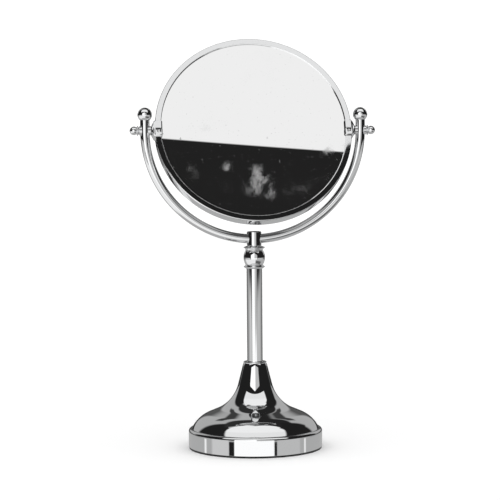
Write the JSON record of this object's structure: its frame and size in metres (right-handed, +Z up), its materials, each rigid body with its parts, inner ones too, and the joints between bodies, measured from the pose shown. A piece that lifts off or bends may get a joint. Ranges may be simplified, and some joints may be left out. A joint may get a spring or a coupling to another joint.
{
  "type": "shaving mirror",
  "caption": "Round tilting mirror, plain on one face and magnifying on the other, held in a bent yoke on a telescopic post with a twist-lock collar and a heavy bell-shaped base.",
  "frame": {"origin": "centre of the base's underside, on the table", "axes": "+Z up along the post; -Y is the way the plain glass faces; +X is to the right as the plain side is looked at"},
  "size_m": [0.253, 0.1376, 0.4221],
  "materials": {
    "chrome": "polished chrome plate",
    "mirror_glass": "silvered glass",
    "iron": "sand-cast, painted black",
    "felt": "pressed wool felt",
    "steel": "zinc-plated steel",
    "brass": "turned brass",
    "nylon": "turned nylon",
    "card": "pressed board",
    "gasket": "foam rubber"
  },
  "bodies": {
    "base": {"base_shell": "chrome", "base_weight": "iron", "base_plate": "steel", "base_felt": "felt", "base_screws": "steel", "post_bolt": "steel", "post_washer": "steel", "post_foot": "brass", "outer_post": "chrome", "guide_bush": "brass", "post_ferrule": "chrome", "collet": "nylon"},
    "lock_collar": {"lock_collar": "chrome"},
    "slider": {"guide_ring": "nylon"},
    "yoke": {"inner_post": "chrome", "stop_plug": "brass", "stop_washer": "steel", "stop_screw": "steel", "top_plug": "brass", "yoke_screw": "steel", "socket": "chrome", "yoke_tube": "chrome", "finial_left": "chrome", "finial_right": "chrome", "pivot_bushes": "brass", "outer_saddles": "chrome", "inner_saddles": "chrome", "friction_washers": "steel"},
    "mirror": {"rim_band": "chrome", "front_bezel": "chrome", "rear_bezel": "chrome", "front_glass": "mirror_glass", "rear_glass": "mirror_glass", "backing_disc": "card", "glass_gasket": "gasket", "bracket_left": "chrome", "bracket_right": "chrome", "bracket_rivets": "chrome"},
    "knob_left": {"knob_left": "chrome", "pivot_screw_left": "steel"},
    "knob_right": {"knob_right": "chrome", "pivot_screw_right": "steel"}
  },
  "joints": [
    {"name": "collar_lock", "type": "hinge", "parent": "base", "child": "lock_collar", "pos_m": [0, 0, 0.196], "axis": [0, 0, 1], "range_deg": [0, 120]},
    {"name": "post_slide", "type": "slide", "parent": "base", "child": "slider", "axis": [0, 0, 1], "range_m": [0, 0.11]},
    {"name": "yoke_swivel", "type": "hinge", "parent": "slider", "child": "yoke", "pos_m": [0, 0, 0.2], "axis": [0, 0, 1], "continuous": true},
    {"name": "mirror_tilt", "type": "hinge", "parent": "yoke", "child": "mirror", "pos_m": [0, 0, 0.3261], "axis": [1, 0, 0], "continuous": true},
    {"name": "knob_left_turn", "type": "hinge", "parent": "yoke", "child": "knob_left", "pos_m": [-0.1184, 0, 0.3261], "axis": [-1, 0, 0], "range_deg": [0, 360]},
    {"name": "knob_right_turn", "type": "hinge", "parent": "yoke", "child": "knob_right", "pos_m": [0.1184, 0, 0.3261], "axis": [1, 0, 0], "range_deg": [0, 360]}
  ]
}
